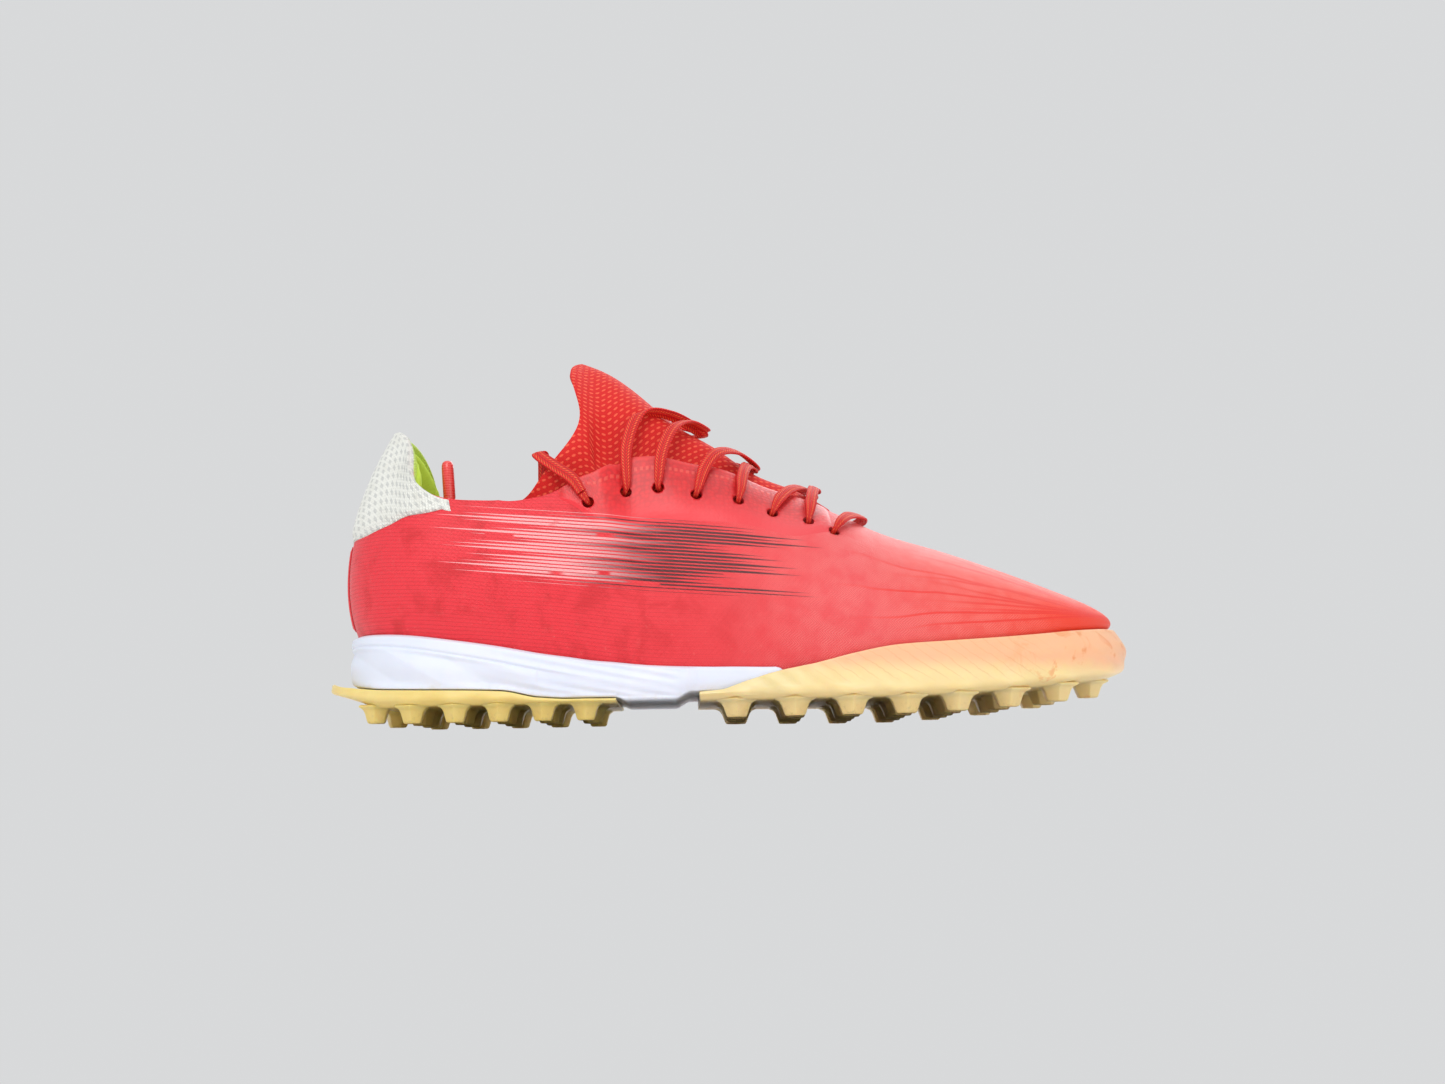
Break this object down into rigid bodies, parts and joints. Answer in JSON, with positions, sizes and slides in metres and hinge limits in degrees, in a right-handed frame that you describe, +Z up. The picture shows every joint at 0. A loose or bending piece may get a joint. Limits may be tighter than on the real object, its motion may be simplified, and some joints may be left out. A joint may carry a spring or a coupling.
{
  "type": "turf soccer shoe",
  "caption": "Laced low-cut turf soccer shoe for the right foot, with a knitted upper and tongue, foam midsole, and gum rubber soles with short round studs.",
  "frame": {"origin": "centre of the footprint box, on the ground plane under the studs", "axes": "+X towards the toe, +Y towards the inner (medial) side, +Z up; the outer (lateral) side faces -Y"},
  "size_m": [0.2864, 0.0969, 0.1322],
  "materials": {
    "rubber_forefoot": "satin translucent gum",
    "rubber_heel": "satin translucent gum",
    "midsole_foam": "matte moulded foam",
    "board": "matte non-woven",
    "insole_foam": "matte foam",
    "insole_cover": "knitted cover",
    "upper_knit": "knit under a satin film",
    "bonded_film": "glossy bonded film",
    "heel_knit": "ribbed knit",
    "seam_tape": "satin tape",
    "stiffener": "matte board",
    "collar_foam": "open foam",
    "lining": "soft mesh",
    "tongue_knit": "dotted stretch knit",
    "lace_weave": "flat woven",
    "aglet_film": "glossy"
  },
  "bodies": {
    "shoe": {"outsole_forefoot": "rubber_forefoot", "outsole_heel": "rubber_heel", "midsole": "midsole_foam", "strobel_board": "board", "upper_shell": "upper_knit", "eyestay_lateral": "bonded_film", "eyestay_medial": "bonded_film", "heel_tab": "heel_knit", "heel_seam_tape": "seam_tape", "heel_counter": "stiffener", "toe_puff": "stiffener", "collar_foam_lateral": "collar_foam", "collar_foam_medial": "collar_foam", "collar_lining": "lining", "tongue_base": "tongue_knit", "lace": "lace_weave", "lace_tail_lateral": "lace_weave", "lace_tail_medial": "lace_weave", "aglet_lateral": "aglet_film", "aglet_medial": "aglet_film"},
    "tongue_flap": {"tongue_flap": "tongue_knit"},
    "insole": {"sockliner_foam": "insole_foam", "sockliner_cover": "insole_cover"}
  },
  "joints": [
    {"name": "tongue_fold", "type": "hinge", "parent": "shoe", "child": "tongue_flap", "pos_m": [-0.02445, 0.0015, 0.1108], "axis": [0, 1, 0], "range_deg": [0, 22], "stiffness_Nm_per_rad": 0.03},
    {"name": "insole_lift", "type": "hinge", "parent": "shoe", "child": "insole", "pos_m": [0.1315, 0.0015, 0.0219], "axis": [0, 1, 0], "range_deg": [0, 4.5]}
  ]
}
